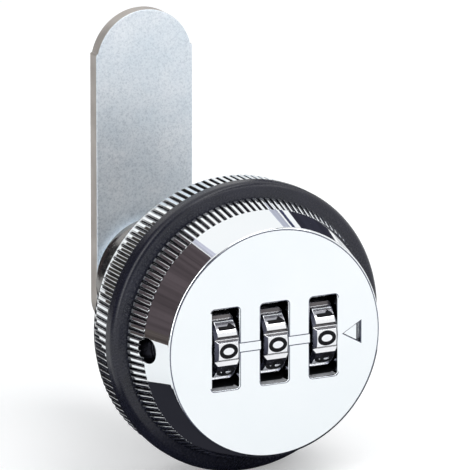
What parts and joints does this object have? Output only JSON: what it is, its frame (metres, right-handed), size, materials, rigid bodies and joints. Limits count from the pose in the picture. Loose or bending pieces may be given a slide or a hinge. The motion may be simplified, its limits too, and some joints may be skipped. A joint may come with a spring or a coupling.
{
  "type": "combination cam lock",
  "caption": "Combination cam lock for a locker door: a knurled knob with dial wheels turns a flat cam behind the panel, clamped by a knurled ring nut.",
  "frame": {"origin": "on the lock axis at the panel seat, the rear face of the gasket", "axes": "+Y along the lock axis into the cabinet, with the knob towards -Y; +Z along the cam arm in the open position shown; +X to the right seen from the front"},
  "size_m": [0.0458, 0.053, 0.0653],
  "materials": {
    "plated_knob": "mirror-bright plated zinc casting",
    "plated_wheel": "bright plated wheels with black painted numerals",
    "turned_brass": "turned, unpolished",
    "carrier_plastic": "moulded black acetal",
    "bright_steel": "bright steel",
    "gasket_rubber": "smooth black rubber, soft sheen",
    "plated_barrel": "plated zinc casting, less bright than the knob",
    "plated_nut": "mirror-bright plated knurl",
    "zinc_steel": "zinc-plated sheet steel with a fine mottle"
  },
  "bodies": {
    "barrel": {"threaded_barrel": "plated_barrel", "rubber_gasket": "gasket_rubber", "ring_nut": "plated_nut"},
    "knob": {"knob_shell": "plated_knob", "wheel_carrier": "carrier_plastic", "dial_axle": "bright_steel", "detent_spring": "bright_steel", "spindle": "plated_barrel", "plate_screws": "bright_steel", "lock_spring": "bright_steel", "reset_spring": "bright_steel", "stop_washer": "zinc_steel", "cam_plate": "zinc_steel", "lock_washer": "bright_steel", "cam_screw": "bright_steel"},
    "dial_1": {"dial_wheel_1": "plated_wheel"},
    "dial_2": {"dial_wheel_2": "plated_wheel"},
    "dial_3": {"dial_wheel_3": "plated_wheel"},
    "sleeve_1": {"code_sleeve_1": "turned_brass"},
    "sleeve_2": {"code_sleeve_2": "turned_brass"},
    "sleeve_3": {"code_sleeve_3": "turned_brass"},
    "fence": {"locking_plate": "bright_steel"},
    "button": {"reset_button": "bright_steel"}
  },
  "joints": [
    {"name": "knob_turn", "type": "hinge", "parent": "barrel", "child": "knob", "pos_m": [0, 0, 0], "axis": [0, 1, 0], "range_deg": [-90, 0]},
    {"name": "dial_turn_1", "type": "hinge", "parent": "knob", "child": "dial_1", "pos_m": [-0.00837, -0.0071, 0], "axis": [1, 0, 0], "continuous": true, "deforming": ["detent_spring"]},
    {"name": "dial_turn_2", "type": "hinge", "parent": "knob", "child": "dial_2", "pos_m": [0, -0.0071, 0], "axis": [1, 0, 0], "continuous": true},
    {"name": "dial_turn_3", "type": "hinge", "parent": "knob", "child": "dial_3", "pos_m": [0.00837, -0.0071, 0], "axis": [1, 0, 0], "continuous": true},
    {"name": "reset_push", "type": "slide", "parent": "knob", "child": "button", "axis": [1, 0, 0], "range_m": [0, 0.0012], "stiffness_N_per_m": 1500, "springref_m": -0.0006, "deforming": ["reset_spring"]},
    {"name": "sleeve_shift_1", "type": "slide", "parent": "dial_1", "child": "sleeve_1", "axis": [1, 0, 0], "range_m": [0, 0.0012]},
    {"name": "sleeve_shift_2", "type": "slide", "parent": "dial_2", "child": "sleeve_2", "axis": [1, 0, 0], "range_m": [0, 0.0012]},
    {"name": "sleeve_shift_3", "type": "slide", "parent": "dial_3", "child": "sleeve_3", "axis": [1, 0, 0], "range_m": [0, 0.0012]},
    {"name": "plate_lift", "type": "slide", "parent": "knob", "child": "fence", "axis": [0, 1, 0], "range_m": [0, 0.0007], "deforming": ["lock_spring"]}
  ],
  "couplings": [
    {"joint": "plate_lift", "follows": "knob_turn", "m_per_rad": -0.000445},
    {"joint": "sleeve_shift_1", "follows": "reset_push", "ratio": 1},
    {"joint": "sleeve_shift_2", "follows": "reset_push", "ratio": 1},
    {"joint": "sleeve_shift_3", "follows": "reset_push", "ratio": 1}
  ]
}
